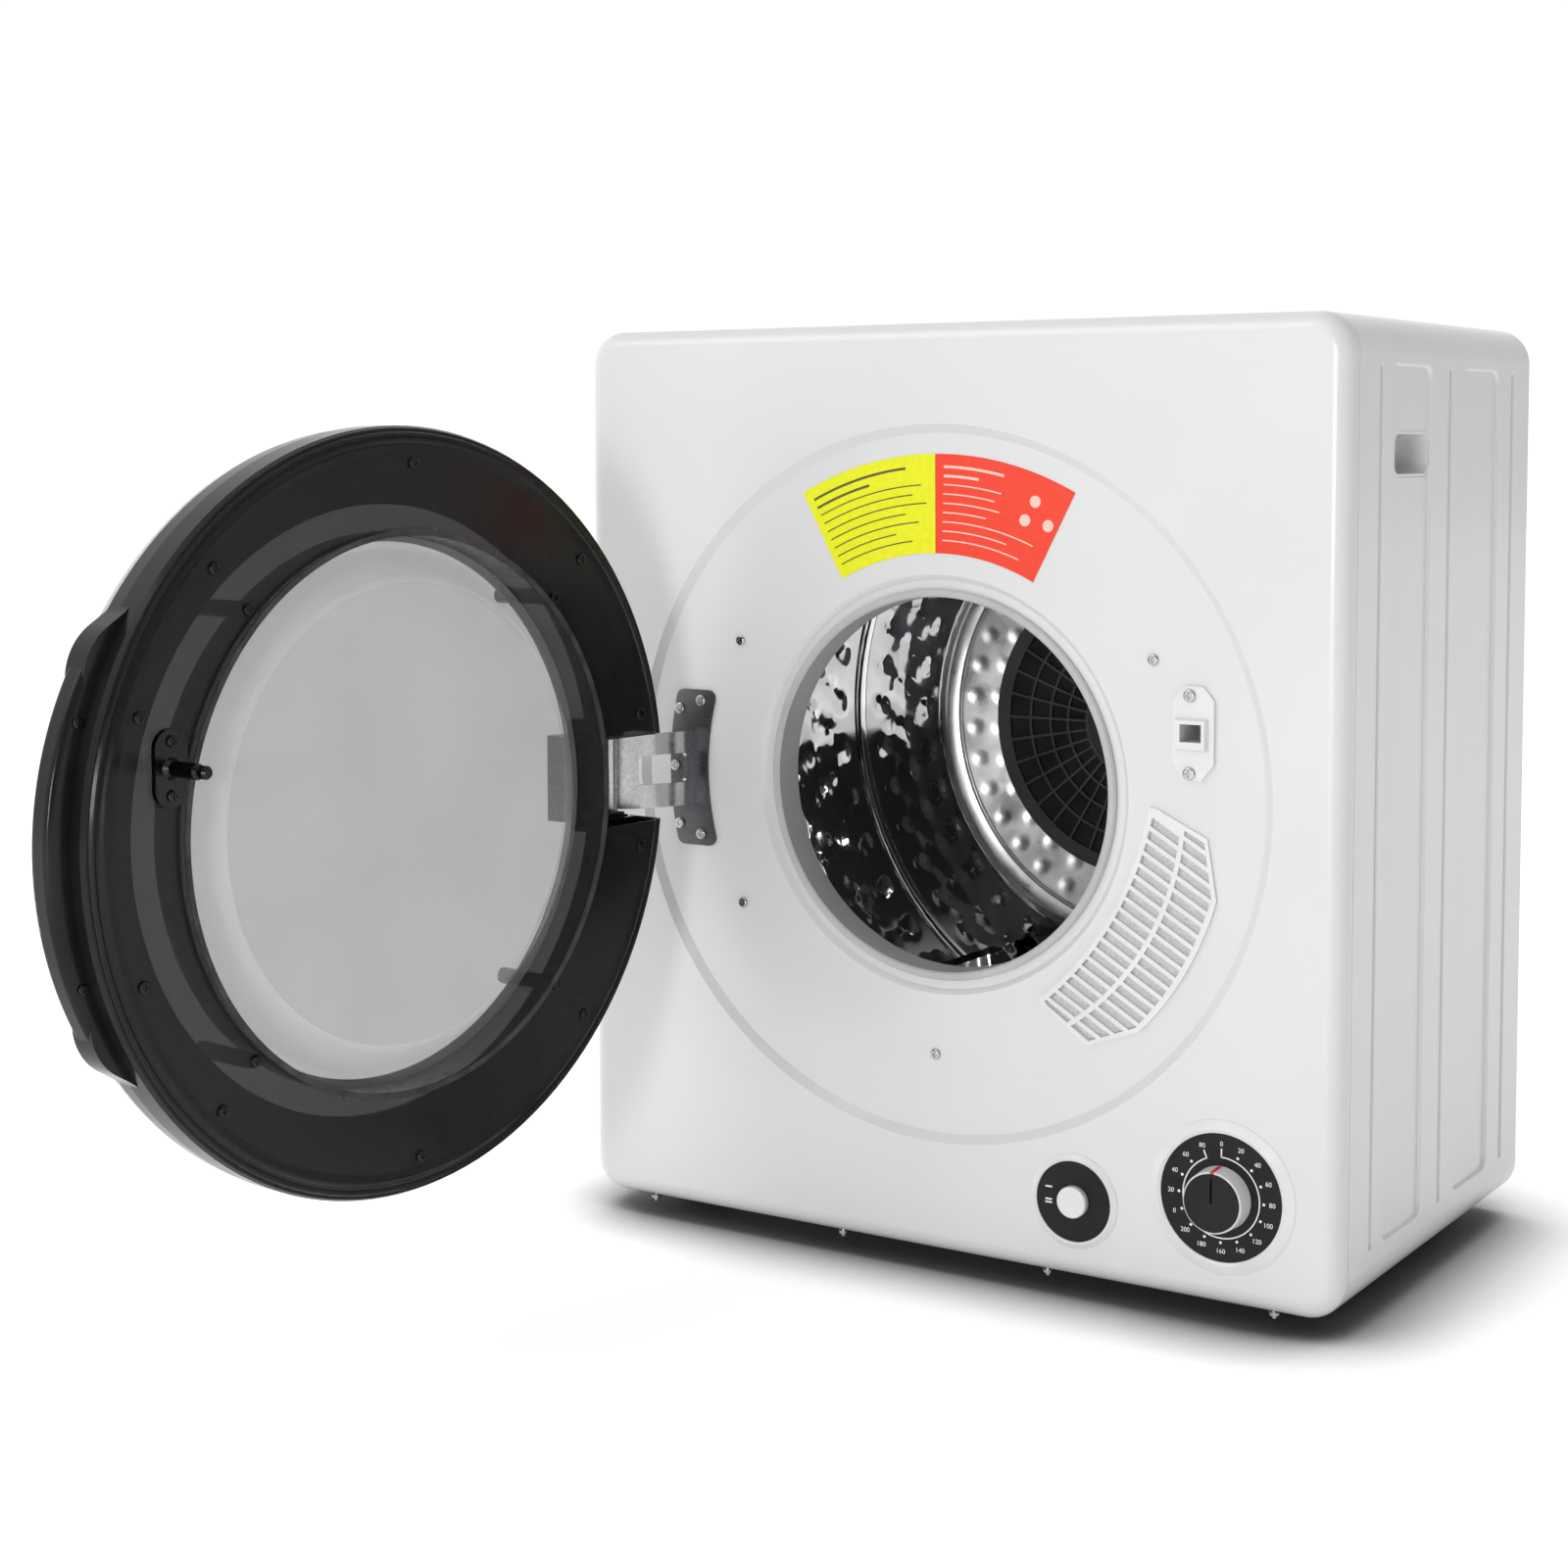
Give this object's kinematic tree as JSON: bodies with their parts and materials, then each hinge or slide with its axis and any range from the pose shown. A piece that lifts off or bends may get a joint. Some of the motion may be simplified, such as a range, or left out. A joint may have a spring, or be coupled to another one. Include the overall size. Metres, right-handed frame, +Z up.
{
  "type": "compact vented clothes dryer",
  "caption": "Compact front-loading tumble dryer: white steel cabinet, round smoked door on a gooseneck hinge standing open, dimpled steel drum, dial timer, heat button and rear exhaust collar.",
  "frame": {"origin": "centre of the footprint at floor level, under the middle of the four feet", "axes": "+Z up, -Y out of the front where the door is, +X to the right seen from the front"},
  "size_m": [0.4962, 0.8316, 0.55],
  "materials": {
    "white_enamel": "gloss baked enamel",
    "galvanised": "satin zinc coating",
    "white_plastic": "semi-gloss moulded",
    "grey_plastic": "satin moulded",
    "dark_plastic": "fine grain",
    "stainless": "dimpled and polished",
    "black_gloss": "polished",
    "smoked": "polished smoked clear plastic",
    "clear": "polished clear",
    "black_rubber": "dull",
    "felt": "felt",
    "steel": "turned steel",
    "motor_paint": "satin",
    "bronze": "sintered",
    "satin_aluminium": "satin",
    "graphite_paint": "satin",
    "chrome_screw": "bright plated",
    "black_screw": "black zinc",
    "sticker": "printed film"
  },
  "bodies": {
    "cabinet": {"front_panel": "white_enamel", "cabinet_wrap": "white_enamel", "side_grip_left": "white_plastic", "side_grip_right": "white_plastic", "rear_panel": "galvanised", "rear_housing": "grey_plastic", "exhaust_collar": "grey_plastic", "base_pan": "galvanised", "feet": "black_rubber", "opening_collar": "grey_plastic", "front_bulkhead": "galvanised", "drum_seal": "felt", "drum_glides": "white_plastic", "bearing_housing": "galvanised", "rear_bearing": "bronze", "rear_duct_seal": "felt", "motor_body": "motor_paint", "motor_bracket": "galvanised", "drum_belt": "black_rubber", "fan_belt": "black_rubber", "idler_bracket": "galvanised", "intake_grille": "white_plastic", "intake_felt": "felt", "heater_housing": "galvanised", "ptc_heater": "satin_aluminium", "timer_body": "dark_plastic", "control_faces": "dark_plastic", "control_bezels": "white_plastic", "heat_switch": "dark_plastic", "latch_receiver": "white_plastic", "door_switch": "dark_plastic", "hinge_plate": "graphite_paint", "hinge_arm": "satin_aluminium", "cabinet_screws": "chrome_screw", "rear_screws": "chrome_screw", "care_label": "sticker", "power_inlet": "dark_plastic"},
    "drum": {"drum_shell": "stainless", "drum_back": "stainless", "drum_filter_cover": "dark_plastic", "drum_lifters": "stainless", "drum_spindle": "steel"},
    "motor": {"motor_shaft": "steel", "motor_pulleys": "steel"},
    "fan": {"fan_wheel": "dark_plastic"},
    "idler_arm": {"idler_arm": "galvanised"},
    "idler_pulley": {"idler_pulley": "dark_plastic"},
    "timer_knob": {"knob_skirt": "white_plastic", "knob_cap": "dark_plastic"},
    "heat_button": {"heat_button": "white_plastic"},
    "door": {"door_frame": "black_gloss", "door_lens": "smoked", "door_inner_ring": "smoked", "door_window": "clear", "door_handle": "black_gloss", "door_seal": "black_rubber", "door_hinge_bracket": "steel", "hinge_pin": "steel", "door_latch": "steel", "door_screws": "black_screw"}
  },
  "joints": [
    {"name": "drum_spin", "type": "hinge", "parent": "cabinet", "child": "drum", "pos_m": [0, 0.12, 0.297], "axis": [0, 1, 0], "continuous": true},
    {"name": "motor_spin", "type": "hinge", "parent": "cabinet", "child": "motor", "pos_m": [-0.176, 0.066, 0.076], "axis": [0, 1, 0], "continuous": true},
    {"name": "fan_spin", "type": "hinge", "parent": "cabinet", "child": "fan", "pos_m": [0, 0.166, 0.297], "axis": [0, 1, 0], "continuous": true},
    {"name": "idler_swing", "type": "hinge", "parent": "cabinet", "child": "idler_arm", "pos_m": [-0.045, -0.036, 0.034], "axis": [0, 1, 0], "range_deg": [-12, 0], "stiffness_Nm_per_rad": 0.6, "springref_deg": 11.46},
    {"name": "idler_spin", "type": "hinge", "parent": "idler_arm", "child": "idler_pulley", "pos_m": [-0.09, -0.018, 0.0539], "axis": [0, 1, 0], "continuous": true},
    {"name": "timer_turn", "type": "hinge", "parent": "cabinet", "child": "timer_knob", "pos_m": [0.1805, -0.158, 0.0726], "axis": [0, 1, 0], "range_deg": [0, 337.5]},
    {"name": "heat_press", "type": "slide", "parent": "cabinet", "child": "heat_button", "axis": [0, 1, 0], "range_m": [0, 0.003], "stiffness_N_per_m": 500, "springref_m": -0.002},
    {"name": "door_swing", "type": "hinge", "parent": "cabinet", "child": "door", "pos_m": [-0.198, -0.1965, 0.2847], "axis": [0, 0, 1], "range_deg": [-34, 95.9]}
  ],
  "couplings": [
    {"joint": "motor_spin", "follows": "drum_spin", "ratio": 22.684},
    {"joint": "fan_spin", "follows": "drum_spin", "ratio": 18.192},
    {"joint": "idler_spin", "follows": "drum_spin", "ratio": -16.021}
  ]
}
